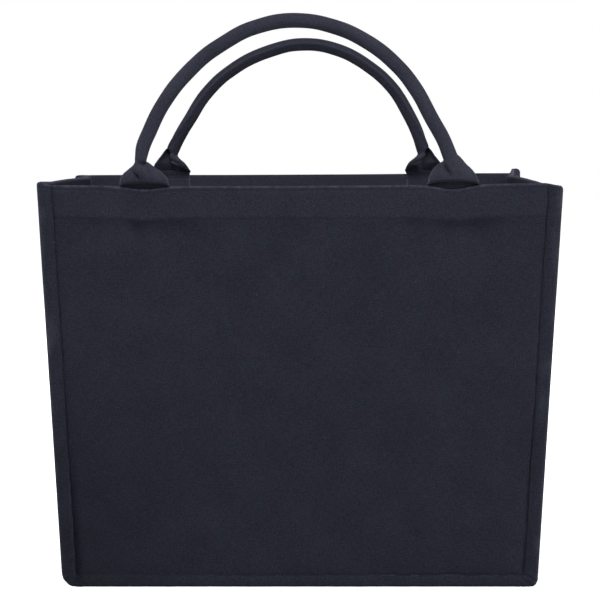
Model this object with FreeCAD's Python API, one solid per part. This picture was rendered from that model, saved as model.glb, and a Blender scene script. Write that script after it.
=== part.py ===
import FreeCAD, Part
import os
from math import degrees

# A box-shaped canvas tote: two tapered panels, two side gussets and a bottom, sewn with their
# seam allowances turned outward, and two handles of rope in a canvas sleeve.
# Millimetres. +X across the front, +Y from front to back, +Z up. Z = 0 is what the bag stands on.

# Bag
rim_width = 420.0  # of the front and back panels at the rim, with their seam flanges
base_width = 392.0  # of the same panels at the bottom
height = 332.0
depth = 190.0  # over the outer faces of the two panels
canvas = 1.0  # one layer of the cloth
flange = 11.0  # the side seam allowance, which stands outside the gusset
seam_lift = 10.0  # the bottom seam above the lower edge
rim_corner = 4.0  # corner radii of the panels
base_corner = 10.0
hem_depth = 27.0  # the rim turned down inside
hem_stitch = 26.0  # the hem's row of stitches below the rim
ease = 0.3  # between layers that aren't sewn to each other

# Handles
handle_spacing = 249.0  # between the two ends of one handle
handle_rise = 130.0  # the middle of the grip above the rim
sleeve_diameter = 11.0
sleeve_wall = 1.2
core_ease = 0.2  # between the rope and its sleeve, all round
neck_rise = 20.0  # the sleeve is round from here up, above the rim
tab_width = 42.0  # the flattened end of the sleeve
tab_depth = 24.0  # what is sewn below the rim
neck_bulge = (0.55, 0.68)  # the flare's rounded shoulder, as shares of its spread and its rise
tab_layers = 2  # the flattened sleeve is two layers of cloth
pivot_rise = 1.0  # the handle folds over the rim this far above it
fold_ease = 0.5  # from that line to the part of the sleeve that moves

# Thread
thread = 0.5
stitch_margin = 0.6  # from a fold or an edge to the row beside it
tab_row = 3.0  # the upper row on a tab, below the rim

# Worked out
front = -depth / 2
inner = depth / 2 - canvas  # half the distance between the panels' inner faces
hem_face = inner - canvas
tab_thickness = tab_layers * canvas
handle_plane = hem_face - tab_thickness / 2  # from the bag's middle to the handles' own plane
end_x = handle_spacing / 2
moving_from = height + pivot_rise + fold_ease
neck = height + neck_rise


def half_width(z):
    """Half the width of a panel at height z."""
    return (base_width + (rim_width - base_width) * z / height) / 2


def seam_x(z):
    """Where a gusset meets the panels at height z."""
    return half_width(z) - flange


def plate(points, near, far):
    """A flat piece with an outline in X and Z, from Y = near to Y = far."""
    corners = [FreeCAD.Vector(x, near, z) for x, z in points]
    face = Part.Face(Part.makePolygon(corners + corners[:1]))
    return face.extrude(FreeCAD.Vector(0, far - near, 0))


def block(x0, x1, y0, y1, z0, z1):
    return Part.makeBox(x1 - x0, y1 - y0, z1 - z0, FreeCAD.Vector(x0, y0, z0))


def mirror_x(shape):
    return shape.mirror(FreeCAD.Vector(0, 0, 0), FreeCAD.Vector(1, 0, 0))


def to_back(shape):
    return shape.mirror(FreeCAD.Vector(0, 0, 0), FreeCAD.Vector(0, 1, 0))


def joined(shapes):
    """Layers of one piece of cloth as one solid."""
    return shapes[0].fuse(shapes[1:]).removeSplitter()


def save(node, shape):
    shape.exportStep(f"parts/{node}.step")


def is_corner(edge, z):
    """Whether an edge runs through the cloth at height z."""
    start, end = (vertex.Point for vertex in edge.Vertexes)
    return abs(start.z - z) < 1e-6 and abs(start.x - end.x) + abs(start.z - end.z) < 1e-6


def panel_outline(near, far):
    """The whole outline of a panel with its four rounded corners."""
    base, rim = half_width(0), half_width(height)
    solid = plate([(-base, 0), (base, 0), (rim, height), (-rim, height)], near, far)
    for z, radius in ((0, base_corner), (height, rim_corner)):
        corners = [edge for edge in solid.Edges if is_corner(edge, z)]
        solid = solid.makeFillet(radius, corners)
    return solid


def beside(x0, x1, near, far, z0, z1):
    """A strip along the right seam, from x0 to x1 outward of it."""
    corners = [(seam_x(z0) + x0, z0), (seam_x(z0) + x1, z0)]
    corners += [(seam_x(z1) + x1, z1), (seam_x(z1) + x0, z1)]
    return plate(corners, near, far)


def front_panel():
    """One layer, with its upper edge turned down inside as far as the seams allow."""
    hem_from = height - hem_depth
    low, high = seam_x(hem_from) - ease, seam_x(height) - ease
    corners = [(-low, hem_from), (low, hem_from), (high, height), (-high, height)]
    return joined([panel_outline(front, -inner), plate(corners, -inner, -hem_face)])


def right_gusset():
    """A web between the panels, an allowance turned outward along each, and its own hem."""
    web = beside(0, canvas, -inner, inner, 0, height)
    allowance = beside(0, flange, -inner, -hem_face, 0, height)
    allowance = allowance.common(panel_outline(-inner, -hem_face))
    hem_edge = hem_face - ease
    hem = beside(-canvas, 0, -hem_edge, hem_edge, height - hem_depth, height)
    return joined([web, allowance, to_back(allowance), hem])


def bottom_panel():
    """A flat bottom above the floor, with its four edges turned down to the floor."""
    top = seam_lift + canvas
    end = seam_x(seam_lift)
    floor = block(-end, end, -inner, inner, seam_lift, top)
    floor = floor.cut([gusset_inner_side(), mirror_x(gusset_inner_side())])
    long_edge = block(-seam_x(0), seam_x(0), -inner, -hem_face, 0, seam_lift)
    long_edge = long_edge.common(panel_outline(-inner, -hem_face))
    short_edge = beside(-canvas, 0, -hem_face, hem_face, 0, seam_lift)
    edges = [long_edge, to_back(long_edge), short_edge, mirror_x(short_edge)]
    return joined([floor, *edges])


def gusset_inner_side():
    """Everything outward of the right gusset's inner face, for cutting."""
    return beside(0, flange, -depth, depth, -flange, height)


def tab():
    """The end of the sleeve that is sewn inside the hem and doesn't move."""
    left, right = end_x - tab_width / 2, end_x + tab_width / 2
    far = tab_thickness - hem_face
    return block(left, right, -hem_face, far, height - tab_depth, height + pivot_rise)


def neck_plate():
    """The flared part of the sleeve that folds over the rim, narrowing to the round sleeve."""
    half, radius = tab_width / 2, sleeve_diameter / 2
    rise = neck - moving_from
    y = -hem_face
    start = FreeCAD.Vector(end_x + half, y, moving_from)
    end = FreeCAD.Vector(end_x + radius, y, neck)
    out, up = neck_bulge
    bulge = FreeCAD.Vector(end_x + radius + out * (half - radius), y, moving_from + up * rise)
    right = Part.Arc(start, bulge, end).toShape()
    left_start, left_end = mirrored(start), mirrored(end)
    left = Part.Arc(left_end, mirrored(bulge), left_start).toShape()
    outline = Part.Wire([right, Part.makeLine(end, left_end), left, Part.makeLine(left_start, start)])
    return Part.Face(outline).extrude(FreeCAD.Vector(0, tab_thickness, 0))


def mirrored(point):
    """A point on the other side of the middle of the right tab."""
    return FreeCAD.Vector(2 * end_x - point.x, point.y, point.z)


def arch(diameter, out=0.0, y_from_plane=0.0):
    """A round bar along the handle's arch, out from its line and off its plane by these amounts."""
    rise = handle_rise - neck_rise
    radius = (end_x**2 + rise**2) / (2 * rise)
    centre = FreeCAD.Vector(0, y_from_plane - handle_plane, neck + rise - radius)
    start = FreeCAD.Vector(end_x, centre.y, neck) - centre
    direction = FreeCAD.Vector(start).normalize()
    where = centre + direction * (radius + out)
    tangent = FreeCAD.Vector(direction.z, 0, -direction.x)
    disc = Part.Face(Part.Wire(Part.makeCircle(diameter / 2, where, tangent)))
    half_sweep = FreeCAD.Vector(0, 0, 1).getAngle(direction)
    return disc.revolve(centre, FreeCAD.Vector(0, -1, 0), degrees(2 * half_sweep))


def sleeve():
    """The round sleeve, hollow for the rope, with a flared plate at each end."""
    bore = arch(sleeve_diameter - 2 * sleeve_wall)
    plates = [neck_plate(), mirror_x(neck_plate())]
    return joined([arch(sleeve_diameter).cut(bore), *[p.cut(bore) for p in plates]])


def core():
    return arch(sleeve_diameter - 2 * sleeve_wall - 2 * core_ease)


def sleeve_seam():
    """The row that closes the sleeve along the side that faces into the bag."""
    return arch(thread, y_from_plane=(sleeve_diameter + thread) / 2)


def panel_seam():
    """The rows that join the front panel to both gussets and the bottom, on its outer face."""
    inside = canvas + stitch_margin
    side = beside(inside, inside + thread, front - thread, front, base_corner, height - stitch_margin)
    z = seam_lift - stitch_margin
    low = block(-seam_x(z), seam_x(z), front - thread, front, z - thread, z)
    return Part.makeCompound([side, mirror_x(side), low])


def panel_hem_row():
    z = height - hem_stitch
    end = seam_x(z) - stitch_margin
    return block(-end, end, front - thread, front, z - thread, z)


def gusset_hem_row():
    z = height - hem_stitch
    end = hem_face - stitch_margin
    return beside(canvas, canvas + thread, -end, end, z - thread, z)


def bottom_end_row():
    z = seam_lift - stitch_margin
    end = hem_face - stitch_margin
    return beside(canvas, canvas + thread, -end, end, z - thread, z)


def tab_rows():
    """Two rows across each tab, on the face inside the bag."""
    half = tab_width / 2 - stitch_margin
    y = tab_thickness - hem_face
    rows = []
    for below in (tab_row, tab_depth - stitch_margin):
        z = height - below
        rows.append(block(end_x - half, end_x + half, y, y + thread, z, z + thread))
    return Part.makeCompound(rows + [mirror_x(row) for row in rows])


os.makedirs("parts", exist_ok=True)
save("left_gusset", mirror_x(right_gusset()))
save("right_gusset", right_gusset())
save("bottom_panel", bottom_panel())
save("left_gusset_hem_thread", mirror_x(gusset_hem_row()))
save("right_gusset_hem_thread", gusset_hem_row())
save("left_bottom_thread", mirror_x(bottom_end_row()))
save("right_bottom_thread", bottom_end_row())
for side, placed in (("front", lambda shape: shape), ("back", to_back)):
    save(f"{side}_panel", placed(front_panel()))
    save(f"{side}_panel_seam_thread", placed(panel_seam()))
    save(f"{side}_hem_thread", placed(panel_hem_row()))
    save(f"{side}_left_tab", placed(mirror_x(tab())))
    save(f"{side}_right_tab", placed(tab()))
    save(f"{side}_tab_thread", placed(tab_rows()))
    save(f"{side}_handle_sleeve", placed(sleeve()))
    save(f"{side}_handle_rope", placed(core()))
    save(f"{side}_sleeve_thread", placed(sleeve_seam()))
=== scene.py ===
import functools
import math

import bmesh
import bpy
from mathutils import Matrix, Vector, noise


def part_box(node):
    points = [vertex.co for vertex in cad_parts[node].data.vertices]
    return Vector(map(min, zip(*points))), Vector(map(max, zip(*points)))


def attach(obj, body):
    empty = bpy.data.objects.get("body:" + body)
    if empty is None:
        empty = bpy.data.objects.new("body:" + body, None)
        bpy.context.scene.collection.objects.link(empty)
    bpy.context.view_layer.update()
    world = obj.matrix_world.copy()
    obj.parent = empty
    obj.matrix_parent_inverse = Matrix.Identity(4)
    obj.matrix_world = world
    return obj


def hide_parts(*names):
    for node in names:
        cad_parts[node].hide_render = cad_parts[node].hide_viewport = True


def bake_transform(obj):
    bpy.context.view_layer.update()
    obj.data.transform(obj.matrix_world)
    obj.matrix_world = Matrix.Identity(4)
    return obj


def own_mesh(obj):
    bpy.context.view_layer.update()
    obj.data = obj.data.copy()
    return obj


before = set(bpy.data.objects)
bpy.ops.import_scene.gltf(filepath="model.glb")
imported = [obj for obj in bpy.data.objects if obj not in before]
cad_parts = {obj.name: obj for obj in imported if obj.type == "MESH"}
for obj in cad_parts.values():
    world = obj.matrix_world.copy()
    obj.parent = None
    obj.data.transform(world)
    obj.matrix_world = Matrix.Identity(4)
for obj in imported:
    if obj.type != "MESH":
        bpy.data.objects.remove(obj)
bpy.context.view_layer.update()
scene = bpy.context.scene
scene.view_settings.view_transform = "Standard"
mm = 0.001

# ---- Camera ----
# It stands a little above the rim, a metre or so in front of the bag, and looks slightly down.

panel_low, panel_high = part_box("front_panel")
rim = panel_high.z
front = panel_low.y

camera_distance = 1.081  # from the front panel
camera_rise = 0.0455  # above the rim
camera_tilt = 7.24  # degrees down from level

camera_data = bpy.data.cameras.new("camera")
camera_data.sensor_width = 36
camera_data.lens = 81.05
camera = bpy.data.objects.new("camera", camera_data)
camera.location = (0, front - camera_distance, rim + camera_rise)
camera.rotation_euler = (math.radians(90 - camera_tilt), 0, 0)
scene.collection.objects.link(camera)
scene.camera = camera

# ---- Canvas, as on every cloth piece ----
# Heavy cotton canvas, plain weave, piece-dyed a dark navy that is almost charcoal. It is matte and
# took the dye unevenly, with slubs along both threads, pale lint caught in it and folds rubbed paler.

# Sizes of its patterns. A noise's scale is one over the size that it draws.
thread_pitch = 0.8 * mm  # 0.6 in the real cloth, which is too fine to show
thread_sway = 0.9 * mm  # how far threads wander off their line
sway_size = 6.25 * mm  # and over what length
slub_width = 1 * mm  # five times as long, and wider than the real ones so that it shows
tuft_size = 1.1765 * mm  # loose fibre, also drawn coarser than it is
patch_size = 8.333 * mm  # of the greener dye
cloud_size = 35.71 * mm  # of lighter and darker cloth
lint_gap = 5.882 * mm  # between places that may hold a speck of lint
lint_radius = 0.065  # of the largest speck, as a share of that gap: 0.4 mm

cloudiness = 0.16  # how much the clouds show beside the grain
darkest, lightest = 0.32, 1.66  # of the dyed colour
lint_rarity = 0.88  # the share of places with no lint


def add(tree, kind, *values, out=0, **named):
    """A new node's output. Values fill its inputs in order. A name with a capital is an input's, and
    one without is a setting's."""
    node = tree.nodes.new("ShaderNode" + kind)
    inputs = dict(enumerate(values))
    for name, value in named.items():
        if name[0].isupper():
            inputs[name.replace("_", " ")] = value
        else:
            setattr(node, name, value)
    for place, value in inputs.items():
        if isinstance(value, bpy.types.NodeSocket):
            tree.links.new(value, node.inputs[place])
        else:
            node.inputs[place].default_value = value
    return node.outputs[out]


def colour(code):
    """An sRGB hex colour as linear RGBA."""
    parts = [int(code[i : i + 2], 16) / 255 for i in (1, 3, 5)]
    return [c / 12.92 if c <= 0.04045 else ((c + 0.055) / 1.055) ** 2.4 for c in parts] + [1]


def woven(name, yarn, tinge, pale_of_wear_and_light, lint):
    """Plain-woven cotton whose threads follow the piece's own flat coordinates."""
    material = bpy.data.materials.new(name)
    material.use_nodes = True
    tree = material.node_tree
    surface = tree.nodes["Principled BSDF"]
    node = functools.partial(add, tree)
    flat = node("UVMap", uv_map="flat")

    def noisy(size, detail, low, high, vector=flat):
        """Noise of this size, from 0 where it is low to 1 where it is high."""
        found = node("TexNoise", Vector=vector, Scale=1 / size, Detail=detail)
        return node("MapRange", found, low, high)

    # Threads both ways, and the slubs and tufts on them
    wander = node("TexNoise", Vector=flat, Scale=1 / sway_size, Detail=2.0, out="Color")
    swayed = node("VectorMath", wander, (thread_sway, thread_sway, 0), flat, operation="MULTIPLY_ADD")
    bands = math.pi / (10 * thread_pitch)  # a wave texture of this scale has a band to each thread
    uneven = {"Distortion": 1.5, "Detail": 2.0, "Detail_Scale": 0.6}
    threads = [
        node("TexWave", Vector=swayed, Scale=bands, bands_direction=way, out="Fac", **uneven)
        for way in ("X", "Y")
    ]
    crossings = node("Math", *threads, operation="MULTIPLY")
    runs = []
    for stretch in ((1, 0.2, 1), (0.2, 1, 1)):
        drawn_out = node("Mapping", Vector=flat, Scale=stretch)
        runs.append(noisy(slub_width, 2.0, 0.3, 0.7, vector=drawn_out))
    slubs = node("Math", node("Math", *runs, operation="ADD"), 0.5, operation="MULTIPLY")
    tufts = noisy(tuft_size, 2.0, 0.25, 0.75)
    grain = node("Math", slubs, 0.4, operation="MULTIPLY")
    grain = node("Math", tufts, 0.6, grain, operation="MULTIPLY_ADD")

    # The dye, patchy and clouded
    patches = node("Math", noisy(patch_size, 3.0, 0.5, 0.72), 0.6, operation="MULTIPLY")
    dyed = node("Mix", Factor=patches, A=colour(yarn), B=colour(tinge), data_type="RGBA", out="Result")
    level = node("Math", grain, 0.94, operation="MULTIPLY")
    clouds = noisy(cloud_size, 4.0, 0.25, 0.75)
    level = node("Math", clouds, cloudiness, level, operation="MULTIPLY_ADD")
    brightness = node("MapRange", level, To_Min=darkest, To_Max=lightest)

    # Where it is worn, or has painted light, it is paler, and where that value is below nothing it is
    # darkened as painted shade
    wear_and_painted_shading = node("Attribute", attribute_name="wear_and_painted_shading", out="Fac")
    painted_shade_factor = node("Math", node("Math", wear_and_painted_shading, 1.0, operation="ADD"), 1.0, operation="MINIMUM")
    brightness = node("Math", brightness, painted_shade_factor, operation="MULTIPLY")
    shaded = node("VectorMath", dyed, Scale=brightness, operation="SCALE")
    paler = node("Math", wear_and_painted_shading, node("Math", grain, 0.4, operation="ADD"), operation="MULTIPLY")
    body = node("Mix", Factor=paler, A=shaded, B=colour(pale_of_wear_and_light), data_type="RGBA", out="Result")

    # Specks of lint, of many sizes
    distance = node("TexVoronoi", Vector=flat, Scale=1 / lint_gap)
    chance = node("SeparateColor", distance.node.outputs["Color"])
    radius = node("MapRange", chance, lint_rarity, 1.0, To_Max=lint_radius)
    speck = node("Math", distance, radius, operation="LESS_THAN")
    linty = node("Mix", Factor=speck, A=body, B=colour(lint), data_type="RGBA", out="Result")

    height = node("Math", grain, 1.2, crossings, operation="MULTIPLY_ADD")
    bump = node("Bump", Height=height, Strength=0.4, Distance=0.4 * mm)
    tree.links.new(linty, surface.inputs["Base Color"])
    tree.links.new(bump, surface.inputs["Normal"])
    surface.inputs["Roughness"].default_value = 0.95
    surface.inputs["Specular IOR Level"].default_value = 0
    surface.inputs["Sheen Weight"].default_value = 0.05
    surface.inputs["Sheen Roughness"].default_value = 0.5
    surface.inputs["Sheen Tint"].default_value = colour("#9a9cb0")
    return material


canvas = woven("navy cotton canvas", "#282832", "#242d34", "#545563", "#52545d")

# ---- Front and back panels ----
# Each is one piece of canvas, cut wider at the rim than at the bottom. Its upper edge is turned down
# inside as a hem. Its sides and bottom are sewn outward to the gussets and the bottom, so that a
# stuffed ridge stands out past each seam, and the cloth pulls into small puckers along it.

cloth = 0.9 * mm
flange = 11 * mm
seam_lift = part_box("bottom_panel")[1].z - 1 * mm
rim_half = panel_high.x + 0.5 * mm  # the raw edges spread a little
base_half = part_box("bottom_panel")[1].x + flange + 0.3 * mm
hem_depth = 27 * mm
hem_stitch = 26 * mm
hem_gap = 1.3 * mm  # between the middles of the outer layer and the one turned down inside
base_corners = {-1: 12 * mm, 1: 6.5 * mm}  # left and right
rim_corners = {-1: 2.8 * mm, 1: 3.8 * mm}
tab_places = (-124.8 * mm, 122 * mm)
seeds = {"front": 1.7, "back": 31.3}
rim_lean = {"front": -2.4, "back": 5.2}  # out from the bag, in mm
hem_inside_painted_light = 0.16  # painted light: the inside of the hem is drawn paler, to look as brightly lit as the outside

# How the cloth swells between the seams: how far in mm, how wide, how tall, and a seed.
swells = ((3.2, 130 * mm, 100 * mm, 0), (1.8, 55 * mm, 70 * mm, 5), (0.5, 20 * mm, 24 * mm, 9))


def half_width(z):
    """Half a panel's width at height z."""
    return base_half + (rim_half - base_half) * z / rim


def seam_x(z):
    """Where the side seams are at height z."""
    return half_width(z) - flange - 0.3 * mm


def soft(distance, width):
    """1 at no distance, falling smoothly to nothing a few widths away."""
    return math.exp(-((distance / width) ** 2))


def ramp(value, start, end):
    """0 up to the start and 1 from the end on, with a smooth rise between."""
    t = min(max((value - start) / (end - start), 0), 1)
    return t * t * (3 - 2 * t)


def stations(*stretches):
    """Places along a line from 0: each stretch is a length and the spacing in it."""
    places = [0.0]
    for length, step in stretches:
        count = max(1, round(length / step))
        places += [places[-1] + length * (i + 1) / count for i in range(count)]
    return places


def centred(places):
    """The same places with 0 at their middle."""
    return [place - places[-1] / 2 for place in places]


def ripple(t, size, seed):
    """An uneven wave along a seam, from -1 to 1, whose bumps are about this size."""
    return 1.6 * noise.noise(Vector((t / size, seed, 0.5)))


def seam_relief(x, z, seed):
    """How far the seams and the cloth between them stand out, in mm, and how far inside them it is."""
    from_side, from_bottom = seam_x(z) - abs(x), z - seam_lift
    inside = min(from_side, from_bottom)
    pulled = ramp(inside, -3 * mm, 3 * mm)
    low = from_bottom <= from_side
    along, spot = (x, 8) if low else (z, math.copysign(3, x))

    # The stitches wander a little, and they are tighter here and there and towards the rim
    inside += 0.4 * mm * ripple(along, 30 * mm, seed + spot + 40)
    tight = 1 + 0.35 * ripple(along, 45 * mm, seed + spot + 20)
    tight *= 0.3 + 0.25 * ramp(x, -100 * mm, 100 * mm) if low else ramp(z, -110 * mm, 150 * mm)

    # A narrow groove where they are tight, a broad one where they aren't, and a ridge outside them
    narrow = 1.8 * tight * (0.25 + 0.75 * ramp(rim - z, 1 * mm, 7 * mm))
    broad = 0.6 if low else 3.4 - 2.9 * tight
    ridge = 0.3 if low else 0.7
    out = ridge * soft(inside + 6 * mm, 4 * mm)
    out -= narrow * soft(inside, 1.1 * mm) + broad * soft(inside - 1 * mm, 4 * mm)

    # Puckers across them, and slanting ones at the lower corners
    pucker = (0.8 - 0.2 * pulled) * math.exp(-abs(inside) / (8 * mm))
    out += pucker * ripple(along, 6 * mm, seed + spot)
    past_base = abs(x) - base_half
    at_corner = 0.5 * (1 - pulled) * soft(math.hypot(past_base, z), 20 * mm)
    out += at_corner * math.sin((z + 0.7 * past_base) / (0.9 * mm))

    if inside > 0:
        swollen = 1.4
        for far, wide, tall, more in swells:
            swollen += far * noise.noise(Vector((x / wide, z / tall, seed + more)))
        out += swollen * (1 - math.exp(-inside / (34 * mm)))
    return out, inside


def rim_relief(x, z, inside, side):
    """How far the hem and the tabs behind it stand out, in mm."""
    below_rim = rim - z
    above_stitch = hem_stitch - below_rim

    # The thick fold at the rim, and the step with a dimple where the hem is sewn
    out = 0.35 * (soft(below_rim - 1 * mm, 1 * mm) - soft(below_rim - 3.4 * mm, 1.1 * mm))
    step = 0.5 * ramp(above_stitch, -1.2 * mm, 1.2 * mm) - 0.7 * soft(above_stitch, 1.1 * mm)
    out += step * ramp(inside, -1 * mm, 3 * mm)

    # Under the hem the cloth slumps, most of all below the tabs
    if above_stitch < 0:
        near = sum(soft(x - place, 42 * mm) for place in tab_places)
        below = -above_stitch / (9 * mm)
        slump = below * math.exp(1 - below) * (1 + 0.5 * ripple(x, 11 * mm, seeds[side] + 60))
        out -= (0.6 + 3.2 * near) * slump * ramp(inside, 0, 14 * mm)

    # In the hem, the tabs push it out and all of it leans
    near = sum(soft(x - place, 22 * mm) for place in tab_places)
    out += 1.2 * near * ramp(above_stitch, 8 * mm, hem_stitch)
    return out + rim_lean[side] * ramp(inside, 0, 40 * mm) * max(above_stitch, 0) / hem_stitch


def rim_rise(x, side):
    """The rim isn't straight: it dips where the handles pull and rises to the stiff corners."""
    t = x / rim_half
    if side == "front":
        dip = 2.7 * soft(x - tab_places[0], 17 * mm) + 3.6 * soft(x - tab_places[1], 16 * mm)
        corners = 2.6 * soft(x + rim_half, 7 * mm) - 2 * ramp(x, 195 * mm, rim_half)
        return (-0.4 + 0.9 * t + 1.8 * t * t + corners - dip) * mm
    return (2.05 + t + 0.8 * t * t + 4 * ramp(x, 197 * mm, 201 * mm)) * mm


def trimmed(x, z):
    """x drawn in where the panel's corners are rounded."""
    cut = 0
    hand = 1 if x > 0 else -1
    for radius, off in ((base_corners[hand], z), (rim_corners[hand], rim - z)):
        if off < radius:
            cut = max(cut, radius - math.sqrt(max(radius**2 - (radius - off) ** 2, 0)))
    return x - hand * cut * ramp(abs(x) / half_width(z), 0.9, 1)


def turned_back(x, z):
    """How far in, and how far back, the seam allowance of the right back corner is bent at the rim."""
    past = max(0, x - seam_x(z)) * ramp(z, rim - 50 * mm, rim)
    return 0.28 * past, 0.7 * past


def on_panel(x, z, side):
    """A point in the middle of the cloth of the front panel, or of the back one before it is turned."""
    relief, inside = seam_relief(x, z, seeds[side])
    relief += rim_relief(x, z, inside, side)
    curled = max(0, 1 - (half_width(z) - abs(x)) / (2 * mm)) ** 2 + max(0, 1 - z / (2 * mm)) ** 2
    bent_in, bent_back = turned_back(x, z) if side == "back" else (0, 0)
    y = front + cloth / 2 - relief * mm + 1.5 * mm * curled - bent_back
    lift = rim_rise(x, side) * ramp(z, rim - 60 * mm, rim)
    return Vector((trimmed(x, z) - bent_in, y, max(z + lift, cloth / 2)))


def cloth_piece(name, across, along, place):
    """Canvas with its real flat size on a grid. place(u, v) gives a point and how rubbed it is, with painted
    light and shade added.
    """
    bm = bmesh.new()
    columns, rows = len(across) - 1, len(along) - 1
    bmesh.ops.create_grid(bm, x_segments=columns, y_segments=rows, size=0.5)
    wear_and_painted_shading = bm.verts.layers.float.new("wear_and_painted_shading")
    flat = bm.loops.layers.uv.new("flat")
    for face in bm.faces:
        face.smooth = True
        for loop in face.loops:
            at = loop.vert.co
            loop[flat].uv = (across[round((at.x + 0.5) * columns)], along[round((at.y + 0.5) * rows)])
    for vert in bm.verts:
        u, v = across[round((vert.co.x + 0.5) * columns)], along[round((vert.co.y + 0.5) * rows)]
        vert.co, vert[wear_and_painted_shading] = place(u, v)
    mesh = bpy.data.meshes.new(name)
    bm.to_mesh(mesh)
    bm.free()
    mesh.materials.append(canvas)
    piece = bpy.data.objects.new(name, mesh)
    scene.collection.objects.link(piece)
    thick = piece.modifiers.new("cloth", "SOLIDIFY")
    thick.thickness = cloth
    thick.offset = 0
    return piece


def to_back(piece):
    """The same piece turned to the other side of the bag, still facing out."""
    bm = bmesh.new()
    bm.from_mesh(piece.data)
    bmesh.ops.scale(bm, vec=(1, -1, 1), verts=bm.verts)
    bmesh.ops.reverse_faces(bm, faces=bm.faces)
    bm.to_mesh(piece.data)
    bm.free()


def hemmed(v):
    """Height of a place up a hemmed piece, and how far down inside the rim it is."""
    return (v, 0) if v <= rim else (2 * rim - v, v - rim)


def corner_painted_highlights(u, v):
    """Painted highlights: pale patches at the back panel's two upper corners, where the cloth would catch
    the light, and a narrow pale strip down inside the rim beside each.
    """
    down = max(v - rim, 0)
    below_fold = ramp(down, 1 * mm, 3 * mm)
    if u > 0:
        highlight_patch = 1.3 * soft(u - 200 * mm + 0.5 * down, 3 * mm) * soft(down - 2 * mm, 3 * mm)
        return highlight_patch + 0.3 * soft(u - 197.5 * mm, 2.5 * mm) * below_fold
    highlight_patch = 0.9 * soft(u + 201 * mm, 4.5 * mm) * soft(v - rim - 0.5 * mm, 1.6 * mm)
    return highlight_patch + 0.3 * soft(u + 196 * mm, 0.9 * mm) * below_fold


def panel_rubbing_and_painted_light(u, v, side):
    """How rubbed a place on a panel is, with painted light and shade added. Below nothing it is painted
    shade.
    """
    z, down = hemmed(v)
    seed = seeds[side]
    x = u / rim_half * half_width(z)
    edge = half_width(z) - abs(x)

    # The fold at the rim is rubbed more in some places than in others, and the raw edges in patches
    rub = max(0.6 + 0.9 * noise.noise(Vector((u / (2.3 * mm), 0, seed))), 0.1)
    rub *= 0.6 if side == "front" else 0.25
    patch = 0.35 * max(0, noise.noise(Vector((u / (8 * mm), v / (20 * mm), seed))))
    wear_and_painted_shading = rub * soft(v - rim, 1.3 * mm) + 0.3 * soft(edge, 1.5 * mm) + patch * soft(edge, 8 * mm)
    # Painted light: from the hem's row of stitches up, the cloth is drawn a little paler
    wear_and_painted_shading += 0.03 * ramp(v, rim - hem_stitch - 1 * mm, rim - hem_stitch + 1 * mm)

    # The back's upper corners get painted highlights
    if side == "back":
        wear_and_painted_shading += corner_painted_highlights(u, v)
    # Painted light: the inside of the hem is drawn paler, away from the fold
    if down:
        wear_and_painted_shading += hem_inside_painted_light * (1 - soft(down, 3 * mm))
    elif side == "front":
        # Painted shade: the lower left of the front is darkened, and most of all in the groove along its
        # seam
        from_seam = x + seam_x(z)
        painted_seam_shade = 0.25 * ramp(z, 0, 10 * mm) * soft(from_seam - 2 * mm, 3.5 * mm)
        wear_and_painted_shading -= (0.2 * soft(from_seam, 75 * mm) + painted_seam_shade) * (1 - ramp(z, 40 * mm, 210 * mm))
    return wear_and_painted_shading


def panel_place(u, v, side):
    """u runs across a panel, v up the outside and over the rim."""
    z, down = hemmed(v)
    x = u / rim_half * half_width(z)
    point = on_panel(x, z, side)
    if down:
        gap = hem_gap - 0.85 * mm * ramp(abs(x) - seam_x(z), -2 * mm, 1 * mm)
        point.y += gap * math.sqrt(min(down / (1.5 * mm), 1)) - 0.3 * mm * ramp(down, 20 * mm, hem_depth)
    return point, panel_rubbing_and_painted_light(u, v, side)


# Closer together at the edges, the rim and the row of stitches
across = centred(stations((16 * mm, 1 * mm), (2 * rim_half - 32 * mm, 3 * mm), (16 * mm, 1 * mm)))
along = stations(
    (14 * mm, 1 * mm),
    (rim - 46 * mm, 3 * mm),
    (10 * mm, 1 * mm),
    (15 * mm, 2.4 * mm),
    (10 * mm, 0.7 * mm),
    (hem_depth - 3 * mm, 3 * mm),
)

for side in ("front", "back"):
    panel = cloth_piece(f"{side}_panel_cloth", across, along, lambda u, v: panel_place(u, v, side))
    if side == "back":
        to_back(panel)
    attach(panel, side)
    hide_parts(f"{side}_panel")

# ---- Gussets ----
# A side of the bag. Its two long edges turn outward behind the panels' edges, where both are sewn,
# and its upper edge is hemmed like theirs. The cloth between the seams bows inward a little.

half_depth = -front
web = half_depth - cloth  # half of the gusset's width between its turned edges


def gusset_bow(y, z, hand, seed):
    """How far the cloth between the seams bows into the bag, in mm."""
    inward = web - abs(y)
    slack = 1 - math.exp(-inward / (22 * mm))
    belly = ramp(z, -0.1 * rim, 0.55 * rim) * (1 - 0.95 * ramp(z, 0.6 * rim, rim))
    crease_y = 5 * mm * noise.noise(Vector((z / (100 * mm), seed, 0)))
    bow = slack * belly * (5.5 + 2.4 * noise.noise(Vector((y / (80 * mm), z / (110 * mm), seed))))
    bow += 3.5 * belly * soft(y - crease_y, 5 * mm)
    bow += 0.7 * slack * noise.noise(Vector((y / (30 * mm), z / (40 * mm), seed + 4)))
    bow += 0.4 * math.exp(-inward / (9 * mm)) * ripple(z, 6 * mm, seed + math.copysign(2, y))
    if y > 0:  # it is tucked in beside the back seam, near the rim
        tuck = 4.5 if hand > 0 else 2
        bow += tuck * soft(inward - 6 * mm, 4 * mm) * ramp(z, rim - 120 * mm, rim)
    return bow


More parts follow.
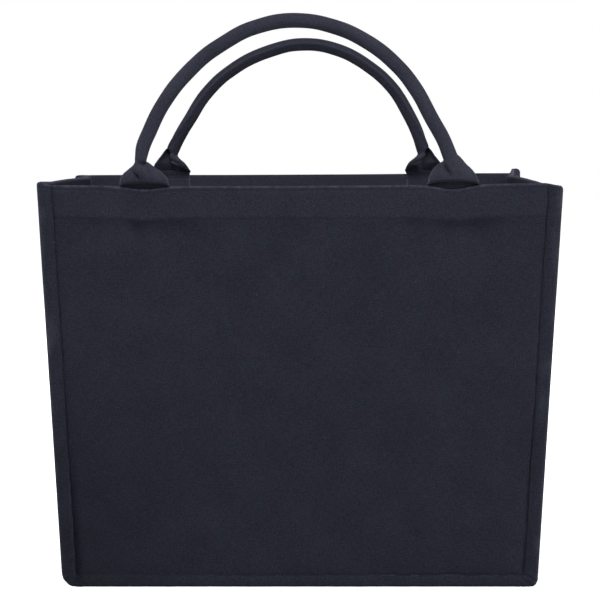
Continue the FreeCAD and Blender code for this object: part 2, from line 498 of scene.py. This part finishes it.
def gusset_place(u, v, hand, seed):
    """u runs across the gusset from one raw edge to the other, v up the outside and over the rim."""
    z, down = hemmed(v)
    past = max(0, abs(u) - web)
    y = math.copysign(min(abs(u), web), u)
    if past:
        out = min(seam_x(z) + cloth / 2 + past, half_width(z) - 0.4 * mm)
        out = abs(trimmed(hand * out, z))
        curl = 0.8 * mm * max(0, 1 - (half_width(z) - out) / (2 * mm)) ** 2
        y -= math.copysign(0.8 * mm * soft(past - 6 * mm, 4 * mm) - curl, y)
    else:
        out = seam_x(z) + cloth / 2 - gusset_bow(y, z, hand, seed) * mm

    # The rim rises from the front panel's to a little below the back one's
    t = (y + half_depth) / (2 * half_depth)
    lift = rim_rise(hand * rim_half, "front") * (1 - t) + (rim_rise(hand * 190 * mm, "back") - 2 * mm) * t
    lift += 0.6 * mm * math.sin(math.pi * t)
    height = max(z + lift * ramp(z, rim - 60 * mm, rim), cloth / 2)

    if down:
        out -= hem_gap * math.sqrt(min(down / (1.5 * mm), 1)) * (0.2 if past else 1)
        y *= 1 - 0.014 * ramp(down, 0, 3 * mm)
    if hand > 0 and y > 0:
        bent_in, bent_back = turned_back(out, z)
        out -= bent_in
        y += bent_back
    wear_and_painted_shading = 0.6 * soft(v - rim, 1.5 * mm) + 0.3 * soft(past - flange, 1.5 * mm)
    return Vector((hand * out, y, height)), wear_and_painted_shading


across = centred(
    stations(
        (flange, 1 * mm), (8 * mm, 1 * mm), (2 * web - 16 * mm, 3.2 * mm), (8 * mm, 1 * mm), (flange, 1 * mm)
    )
)
gusset_seeds = {"left": 51.1, "right": 62.9}

for name, hand in (("left", -1), ("right", 1)):
    seed = gusset_seeds[name]
    gusset = cloth_piece(
        f"{name}_gusset_cloth", across, along, lambda u, v: gusset_place(u, v, hand, seed)
    )
    if hand > 0:
        gusset.data.flip_normals()
    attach(gusset, "front")
    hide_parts(f"{name}_gusset")
    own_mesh(gusset)

# ---- Bottom ----
# One piece of canvas that hangs a little above the ground between its four turned-down edges.

end_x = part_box("bottom_panel")[1].x
lip = seam_lift - cloth
reach_x, reach_y = end_x - cloth, half_depth - 2 * cloth  # of the flat part


def bottom_place(u, v):
    """u runs across the bag, v from its front to its back."""
    down = max(abs(u) - reach_x, abs(v) - reach_y, 0)
    x = math.copysign(min(abs(u), reach_x), u)
    y = math.copysign(min(abs(v), reach_y), v)
    slack = 1 - math.exp(-min(end_x - abs(x), half_depth - abs(y)) / (40 * mm))
    sag = (3.5 + 1.6 * noise.noise(Vector((x / (90 * mm), y / (70 * mm), 77)))) * slack * mm
    return Vector((x, y, max(seam_lift + cloth / 2 - sag - down, cloth / 2))), 0.2 * soft(down, 1.5 * mm)


across_x = centred(stations((lip, 2 * mm), (2 * reach_x, 4 * mm), (lip, 2 * mm)))
across_y = centred(stations((lip, 2 * mm), (2 * reach_y, 4 * mm), (lip, 2 * mm)))
bottom = cloth_piece("bottom_cloth", across_x, across_y, bottom_place)
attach(bottom, "front")
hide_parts("bottom_panel")
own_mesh(bottom)

# ---- Threads of the seams and hems ----
# Polyester thread dyed to match, in a lockstitch of about ten stitches to the inch. Each stitch is
# its own short lens of thread that sinks into the cloth at both ends.

stitch_pitch = 2.6 * mm
stitch_length = 2.2 * mm
thread_radius = 0.25 * mm


def spun(name, code, twist_size):
    """Yarn with a faint twist of this size."""
    material = bpy.data.materials.new(name)
    material.use_nodes = True
    tree = material.node_tree
    surface = tree.nodes["Principled BSDF"]
    node = functools.partial(add, tree)
    place = node("TexCoord", out="Object")
    twist = node("TexNoise", Vector=place, Scale=1 / twist_size, Detail=2.0)
    bright = node("MapRange", twist, To_Min=0.6, To_Max=1.4)
    tint = node("VectorMath", colour(code)[:3], Scale=bright, operation="SCALE")
    bump = node("Bump", Height=twist, Strength=0.4, Distance=0.3 * mm)
    tree.links.new(tint, surface.inputs["Base Color"])
    tree.links.new(bump, surface.inputs["Normal"])
    surface.inputs["Roughness"].default_value = 0.8
    surface.inputs["Specular IOR Level"].default_value = 0.2
    return material


dark_thread = spun("navy polyester thread", "#1b1c24", 0.3846 * mm)


def stitches(name, rows, body, node):
    """All the stitches of some rows. Each row is a list of close points on the face of the cloth."""
    bm = bmesh.new()
    for row in rows:
        sewn = bmesh.new()
        travelled, start = 0.0, row[0]
        for a, b in zip(row, row[1:]):
            travelled += (b - a).length
            if travelled >= stitch_pitch:
                turned = (b - start).to_track_quat("X", "Z").to_matrix().to_4x4()
                size = Matrix.Diagonal((stitch_length / 2, thread_radius, thread_radius, 1))
                place = Matrix.Translation((start + b) / 2) @ turned @ size
                bmesh.ops.create_uvsphere(sewn, u_segments=6, v_segments=4, radius=1, matrix=place)
                travelled, start = 0.0, b
        held = bpy.data.meshes.new("row")
        sewn.to_mesh(held)
        sewn.free()
        bm.from_mesh(held)
        bpy.data.meshes.remove(held)
    for face in bm.faces:
        face.smooth = True
    mesh = bpy.data.meshes.new(name)
    bm.to_mesh(mesh)
    bm.free()
    mesh.materials.append(dark_thread)
    piece = bpy.data.objects.new(name, mesh)
    scene.collection.objects.link(piece)
    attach(piece, body)
    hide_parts(node)
    return piece


def row_of(start, end, place, step=0.5 * mm):
    """Close points along a row, by the function that gives the point at each place."""
    count = round(abs(end - start) / step)
    return [place(start + (end - start) * i / count) for i in range(count + 1)]


for side in ("front", "back"):

    def on_face(x, z):
        """A point just under the outer face of the panel."""
        point = on_panel(x, z, side) + Vector((0, -cloth / 3, 0))
        return point if side == "front" else Vector((point.x, -point.y, point.z))

    reach = seam_x(seam_lift)
    rows = [row_of(-reach, reach, lambda x: on_face(x, seam_lift))]
    for hand in (-1, 1):
        rows.append(row_of(seam_lift, rim - 2 * mm, lambda z: on_face(hand * seam_x(z), z)))
    stitches(f"{side}_panel_seam_stitches", rows, side, f"{side}_panel_seam_thread")
    reach = seam_x(rim - hem_stitch) - 3 * mm
    rows = [row_of(-reach, reach, lambda x: on_face(x, rim - hem_stitch))]
    stitches(f"{side}_hem_stitches", rows, side, f"{side}_hem_thread")

for name, hand in (("left", -1), ("right", 1)):

    def on_side(y, z):
        """A point on the outer face of the gusset."""
        return gusset_place(y, z, hand, gusset_seeds[name])[0] + Vector((hand * cloth / 2, 0, 0))

    reach = web - 6 * mm
    for part, z in (("gusset_hem", rim - hem_stitch), ("bottom", seam_lift - 0.6 * mm)):
        rows = [row_of(-reach, reach, lambda y: on_side(y, z))]
        sewn = stitches(f"{name}_{part}_stitches", rows, "front", f"{name}_{part}_thread")
        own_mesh(sewn)

# ---- Handle sleeves ----
# A strip of the same canvas rolled round a rope, its raw edges turned in, and sewn shut along the
# side that faces into the bag. Past each end of the rope the strip opens out flat into a tab, which
# is sewn to the inside of the hem. Above the rim each tab bellies out over it and is creased.

strip = 41 * mm
roll = 5.3 * mm  # the sleeve's radius to the middle of its cloth
turned_in = 0.17  # how much of the strip its turned-in edges take up where it is rolled
tab_depth = 24 * mm  # how far down each tab reaches inside the rim
rim_level = {"front": rim, "back": rim + 2.5 * mm}
tube_y = {"front": front + 2.6 * mm, "back": front + 1.6 * mm}
over_rim = front + 3 * mm  # the middle of the strip's cloth as it passes over the rim
spacing = 1.5 * mm  # of the points along each route
cuts = 48  # steps from the spine of the strip to each of its edges
bell_area = 1.77  # of soft(), for each unit of its width

# Middle of each strip from one tab to the other: across the bag, and up from the rim.
routes = {
    "front": [
        (-124.3, -24), (-124.3, -8), (-124.3, 4), (-125.8, 12), (-127.2, 19), (-126.6, 24), (-125, 31),
        (-120.4, 42), (-109.4, 63.6), (-84.5, 93.9), (-60.2, 112.4), (-33, 125.4), (-3, 129.9),
        (25.7, 125.4), (50.4, 114.8), (75.2, 96.2), (90.5, 78.1), (105.9, 51.2), (114.3, 36.4),
        (119.3, 24.6), (121.4, 19), (122.4, 12), (122.5, 4), (122.6, -8), (122.6, -24),
    ],
    "back": [
        (-121, -24), (-121, -8), (-121.5, 5), (-122, 14), (-120.2, 21), (-118, 26), (-113.5, 35.7),
        (-103.5, 52.5), (-85.5, 79.2), (-61.7, 100.1), (-32, 115.1), (2.7, 122.6), (34.5, 117.6),
        (63.3, 102.6), (85.7, 82.7), (101.2, 58.3), (110.2, 39.4), (114.2, 26.6), (116.8, 19),
        (118.7, 12), (119.4, 4), (119.5, -8), (119.5, -24),
    ],
}

# Each tab: where its neck is above the rim, how far its seam is twisted round at the neck and
# further up, how much the neck is pinched, how much narrower its foot is, how high the underside of
# its bulge is, where its inner edge folds over at the foot and how high that fold becomes the tube,
# and its creases. A crease is its middle across and up, its slope in degrees, half its length and
# width, and how far it stands out.
tabs = {
    ("front", -1): dict(
        neck=19, twist=(10, 0), pinch=0.2, narrow=0.035, under=3.8, fold=None,
        creases=(
            (-130.3, 8.2, -42, 5.4, 1.9, -4.2), (-126.5, 12, -38, 5, 2.6, 2.2),
            (-125, 17.6, -10, 3.2, 1.8, -5), (-116.5, 8.5, -50, 5, 4, 1.4), (-121, 12, -75, 4, 1.3, -1.8),
        ),
    ),
    ("front", 1): dict(
        neck=22.5, twist=(-4, 0), pinch=-0.04, narrow=-0.015, under=5.6, fold=None,
        creases=(
            (117.3, 12.8, -60, 5.8, 1.7, -4.6), (112, 10, 60, 5, 3, 1), (133, 12, -40, 6, 4, 1),
            (127, 8, -20, 6, 2.5, -1),
        ),
    ),
    ("back", -1): dict(
        neck=23, twist=(-85, -12), pinch=0.05, narrow=0.135, under=4.8, fold=(18.5, 20), creases=()
    ),
    ("back", 1): dict(
        neck=24, twist=(-85, -12), pinch=0.04, narrow=0.06, under=4.6, fold=(21, 22), creases=()
    ),
}


def smooth_line(points, spacing):
    """Points this far apart along a smooth curve through a route."""
    curve = bpy.data.curves.new("route", "CURVE")
    curve.dimensions = "3D"
    curve.resolution_u = 24
    spline = curve.splines.new("BEZIER")
    spline.bezier_points.add(len(points) - 1)
    for knot, (x, up) in zip(spline.bezier_points, points):
        knot.co = Vector((x * mm, 0, rim + up * mm))
        knot.handle_left_type = knot.handle_right_type = "AUTO"
    holder = bpy.data.objects.new("route", curve)
    scene.collection.objects.link(holder)
    mesh = bpy.data.meshes.new_from_object(holder)
    found = [vert.co.copy() for vert in mesh.vertices]
    bpy.data.objects.remove(holder)
    bpy.data.meshes.remove(mesh)
    even, left = [found[0]], spacing
    for a, b in zip(found, found[1:]):
        while (b - a).length > left:
            a = a + (b - a).normalized() * left
            even.append(a)
            left = spacing
        left -= (b - a).length
    return even


def at(route, v):
    """The point and direction this far along a route."""
    i = min(max(v / spacing, 0), len(route) - 1.001)
    k = int(i)
    before, after = route[max(k - 1, 0)], route[min(k + 2, len(route) - 1)]
    return route[k].lerp(route[k + 1], i - k), (after - before).normalized()


def bend_at(distance, way, up, closed, fold):
    """How sharply the strip bends this far from its spine, in radians to a metre."""
    if not fold or way < 0:
        return (0.58 * closed + 0.42 * closed**7) / roll
    foot, top = fold
    folded_at = (foot + (8.2 - foot) * ramp(up, 0, top * mm) ** 1.8) * mm
    wide = (1.8 + 2.4 * ramp(closed, 0.4, 1)) * mm
    turn = math.pi * ramp(up, 0.5 * mm, 6 * mm)
    sharp = turn * soft(distance - folded_at, wide) / (bell_area * wide)
    curled = ramp(closed, 0.4, 0.65) * (1 - ramp(closed, 0.85, 1))
    curled *= ramp(distance, folded_at + 2 * mm, folded_at + 6 * mm) / (5 * mm)
    return sharp + (1 / roll - sharp) * ramp(closed, 0.45, 0.95) + curled


@functools.cache
def section(v, side):
    """The strip cut across: its place on the route, its tab, and its line from the spine both ways."""
    here, ahead = at(sleeve_lines[side], v)
    tab = tabs[side, -1 if here.x < 0 else 1]
    up = here.z - rim_level[side] if abs(here.x) > 90 * mm else 90 * mm
    closed = min(max(up / (tab["neck"] * mm), 0), 1)
    above = max(up - tab["neck"] * mm, 0)
    upright = Vector((0, 0, -1 if here.x > 0 else 1))
    ahead = upright.lerp(ahead, ramp(closed, 0.7, 1)).normalized()
    half = strip / 2 * (1 - turned_in * ramp(closed, 0.55, 1))
    half *= 1 - tab["narrow"] * (1 - ramp(up, 0, 10 * mm))
    turns, rest = (math.radians(angle) for angle in tab["twist"])
    turned = (rest + (turns - rest) * math.exp(-above / (14 * mm))) * roll * ramp(closed, 0, 0.65)
    lines = []
    for way in (1, -1):  # the inner side, then the outer
        step = (half - way * turned) / cuts
        angle, aside, out = 0.0, 0.0, 0.0
        places = [(0.0, 0.0, 0.0)]
        for i in range(cuts):
            half_bend = bend_at((i + 0.5) * step, way, up, closed, tab["fold"]) * step / 2
            angle += half_bend
            aside += math.cos(angle) * step
            out -= math.sin(angle) * step
            angle += half_bend
            places.append((aside * way, out, angle * way))
        lines.append((step, places))
    return here, ahead, tab, up, closed, half, turned, lines


def sleeve_place(u, v, side):
    """A point of a front sleeve, or of a back one before it is turned: u across, v along the strip."""
    here, ahead, tab, up, closed, half, turned, lines = section(v, side)
    w = u * 2 * half / strip - turned
    step, places = lines[0 if w >= 0 else 1]
    i = min(abs(w) / step, cuts - 0.001)
    before, after = places[int(i)], places[int(i) + 1]
    aside, out, angle = (a + (b - a) * (i - int(i)) for a, b in zip(before, after))

    # One edge laps over the other, and the cloth is a little uneven
    lap = 0.8 * mm * ramp(u, strip / 2 - 4 * mm, strip / 2 - 2.5 * mm) * ramp(closed, 0.8, 1)
    kink = 0.22 * mm * closed * noise.noise(Vector((u / (9 * mm), v / (16 * mm), seeds[side])))
    out += (lap + kink) * math.cos(angle)
    aside += (lap + kink) * math.sin(angle)
    aside *= 1 - tab["pinch"] * soft(up - tab["neck"] * mm, 8 * mm)
    point = here + Vector((ahead.z, 0, -ahead.x)) * aside

    # Over the rim the front tabs bulge, and the back ones are hollow beside their folded edge
    under = tab["under"] * mm
    if side == "front":
        bulge = under * (1 - 0.5 * (2 * u / strip) ** 2)
        belly = 7 * mm * ramp(up, bulge - 2.2 * mm, bulge)
    else:
        upright_edge = ramp(w, 3 * mm, 10 * mm) * (1 - ramp(closed, 0.5, 0.9))
        hollow = ramp(up, under - 1.5 * mm, under) * (1 - upright_edge)
        belly = 6 * mm * hollow - 0.5 * mm * soft(up - 0.8 * mm, 0.8 * mm)
        point.z -= 1.8 * mm * hollow * (1 - ramp(up, under, under + 6 * mm))
    belly += (over_rim - tube_y[side] + roll - belly) * ramp(up, 8 * mm, tab["neck"] * mm)
    flat_y = on_panel(point.x, min(point.z, rim), side).y + hem_gap + 1.05 * cloth
    point.y = flat_y + (over_rim - flat_y) * ramp(up, 0, 12 * mm) - belly - out

    for x, height, slope, length, width, depth in tab["creases"]:
        turn = Matrix.Rotation(math.radians(-slope), 2)
        a, b = turn @ Vector((point.x - x * mm, point.z - rim - height * mm))
        point.y -= depth * mm * soft(a, length * mm) * soft(b, width * mm) * max(math.cos(angle), 0)

    # The strip is drawn paler from the rim up, the front one more than the back, and unevenly
    wear_and_painted_shading = (0.2 if side == "front" else 0.12) * ramp(up, 0, 12 * mm)
    wear_and_painted_shading *= 1 + 0.5 * noise.noise(Vector((u / (12 * mm), v / (30 * mm), seeds[side])))
    # Painted light: below the neck the back tabs are drawn paler, most of all in their hollow, where the
    # flap shades them
    if side == "back":
        wear_and_painted_shading += (0.2 + 0.15 * hollow) * (1 - ramp(closed, 0.85, 1))
    # Painted highlight: the strip's folded edges are drawn paler, most of all on the tabs
    return point, wear_and_painted_shading + 0.65 * soft(abs(u) - strip / 2, 1.1 * mm) * (1 - 0.7 * closed)


sleeve_lines = {side: smooth_line(routes[side], spacing) for side in routes}
sleeve_across = centred(stations((strip, 0.8 * mm)))

for side, facing in (("front", 1), ("back", -1)):
    run = spacing * (len(sleeve_lines[side]) - 1)
    lengthwise = stations(
        (20 * mm, 2 * mm), (9 * mm, 0.5 * mm), (23 * mm, 0.8 * mm), (run - 104 * mm, 1.8 * mm),
        (23 * mm, 0.8 * mm), (9 * mm, 0.5 * mm), (20 * mm, 2 * mm),
    )
    sleeve = cloth_piece(
        f"{side}_handle_canvas", sleeve_across, lengthwise, lambda u, v: sleeve_place(u, v, side)
    )
    if side == "back":
        to_back(sleeve)
    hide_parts(f"{side}_handle_sleeve", f"{side}_left_tab", f"{side}_right_tab")
    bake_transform(sleeve)

# ---- Ropes ----
# Undyed cotton rope, three strands laid together, fills each sleeve from neck to neck.

rope_cotton = spun("undyed cotton rope", "#b9ad95", 1.111 * mm)
strand, lay = 1.9 * mm, 26 * mm
strand_out = 1.155 * strand  # from the rope's middle to a strand's, when all three touch
rope_rise = 27 * mm  # the rope's ends above the rim

for side, facing in (("front", 1), ("back", -1)):
    line = sleeve_lines[side]
    run = spacing * (len(line) - 1)
    steps = [v for v in stations((run, 2 * mm)) if at(line, v)[0].z > rim + rope_rise]
    curve = bpy.data.curves.new("strands", "CURVE")
    curve.dimensions = "3D"
    curve.bevel_depth = strand
    curve.bevel_resolution = 2
    curve.use_fill_caps = True
    for turn_from in (0, 1, 2):
        spline = curve.splines.new("POLY")
        spline.points.add(len(steps) - 1)
        for knot, v in zip(spline.points, steps):
            here, ahead = at(line, v)
            angle = 2 * math.pi * (v / lay + turn_from / 3)
            sideways = Vector((ahead.z, 0, -ahead.x)) * math.cos(angle) + Vector((0, math.sin(angle), 0))
            here = here + sideways * strand_out + Vector((0, tube_y[side], 0))
            knot.co = (here.x, facing * here.y, here.z, 1)
    holder = bpy.data.objects.new("strands", curve)
    scene.collection.objects.link(holder)
    mesh = bpy.data.meshes.new_from_object(holder)
    bpy.data.objects.remove(holder)
    mesh.shade_smooth()
    mesh.materials.clear()
    mesh.materials.append(rope_cotton)
    rope = bpy.data.objects.new(f"{side}_rope_strands", mesh)
    scene.collection.objects.link(rope)
    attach(rope, f"{side}_handle")
    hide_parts(f"{side}_handle_rope")

# ---- Threads of the handles ----
# One row shuts each sleeve, close to its lapped edge. Two rows across each tab hold it to the hem.

seam_in = 1.8 * mm  # from the edge of the strip to the row that shuts it
shut_from = tab_depth + 28 * mm  # along the strip from its end to where that row starts
tab_rows = (3 * mm, 23 * mm)  # down from the rim

for side, facing in (("front", 1), ("back", -1)):
    run = spacing * (len(sleeve_lines[side]) - 1)

    def on_sleeve(u, v):
        """A point on the face of the strip that ends up outside."""
        here = sleeve_place(u, v, side)[0]
        step = 0.3 * mm
        across_way = sleeve_place(u + step, v, side)[0] - sleeve_place(u - step, v, side)[0]
        along_way = sleeve_place(u, v + step, side)[0] - sleeve_place(u, v - step, side)[0]
        here = here + across_way.cross(along_way).normalized() * (cloth / 2)
        return Vector((here.x, facing * here.y, here.z))

    def on_tab(u, v):
        """A point on the face of a tab that looks into the bag."""
        here = sleeve_place(u, v, side)[0]
        return Vector((here.x, facing * (here.y + cloth / 2), here.z))

    seam = row_of(shut_from, run - shut_from, lambda v: on_sleeve(strip / 2 - seam_in, v))
    stitches(f"{side}_sleeve_stitches", [seam], f"{side}_handle", f"{side}_sleeve_thread")

    reach = strip / 2 - 2 * mm
    from_end = [tab_depth - down for down in tab_rows]
    rows = [
        row_of(-reach, reach, lambda u: on_tab(u, v))
        for v in from_end + [run - distance for distance in from_end]
    ]
    stitches(f"{side}_tab_stitches", rows, side, f"{side}_tab_thread")

# ---- Floor and light ----
# A plain white sweep under soft, even light from above and in front.

floor_tone = 0.7  # light enough to brighten the cloth from below, and no more
floor_glow = 0.85  # what makes it white to the camera, and lights nothing
sky_on_cloth = 0.27  # how bright the white sky is to what isn't seen directly

paper = bpy.data.materials.new("white paper")
paper.use_nodes = True
tree = paper.node_tree
surface = tree.nodes["Principled BSDF"]
surface.inputs["Roughness"].default_value = 0.9
surface.inputs["Base Color"].default_value = (floor_tone, floor_tone, floor_tone, 1)
seen = add(tree, "LightPath", out="Is Camera Ray")
glow = add(tree, "Math", seen, floor_glow, operation="MULTIPLY")
tree.links.new(glow, surface.inputs["Emission Strength"])
surface.inputs["Emission Color"].default_value = (1, 1, 1, 1)

bm = bmesh.new()
bmesh.ops.create_grid(bm, x_segments=1, y_segments=1, size=6)
floor_mesh = bpy.data.meshes.new("floor")
bm.to_mesh(floor_mesh)
bm.free()
floor_mesh.materials.append(paper)
floor = bpy.data.objects.new("floor", floor_mesh)
scene.collection.objects.link(floor)

world = bpy.data.worlds.new("studio")
world.use_nodes = True
scene.world = world
sky = world.node_tree
direct = add(sky, "LightPath", out="Is Camera Ray")
for kind in ("Is Glossy Ray", "Is Transmission Ray"):
    direct = add(sky, "Math", direct, add(sky, "LightPath", out=kind), operation="MAXIMUM")
strength = add(sky, "MapRange", direct, To_Min=sky_on_cloth, To_Max=1.0)
sky.links.new(strength, sky.nodes["Background"].inputs["Strength"])
sky.nodes["Background"].inputs["Color"].default_value = (1, 1, 1, 1)

for name, place, size, power in (
    ("key", (-0.15, -0.8, 1.45), 0.8, 15),
    ("fill", (0.9, -1.7, 0.9), 1.0, 6),
    ("back", (0, 1.6, 1), 0.9, 21),
    ("left", (-1.6, -0.15, 0.3), 0.5, 9),
    ("right", (1.6, -0.45, 0.3), 0.5, 9),
):
    lamp = bpy.data.lights.new(name, "AREA")
    lamp.size = size
    lamp.energy = power
    holder = bpy.data.objects.new(name, lamp)
    holder.location = place
    holder.rotation_euler = (Vector((0, 0, 0.2)) - Vector(place)).to_track_quat("-Z", "Y").to_euler()
    scene.collection.objects.link(holder)
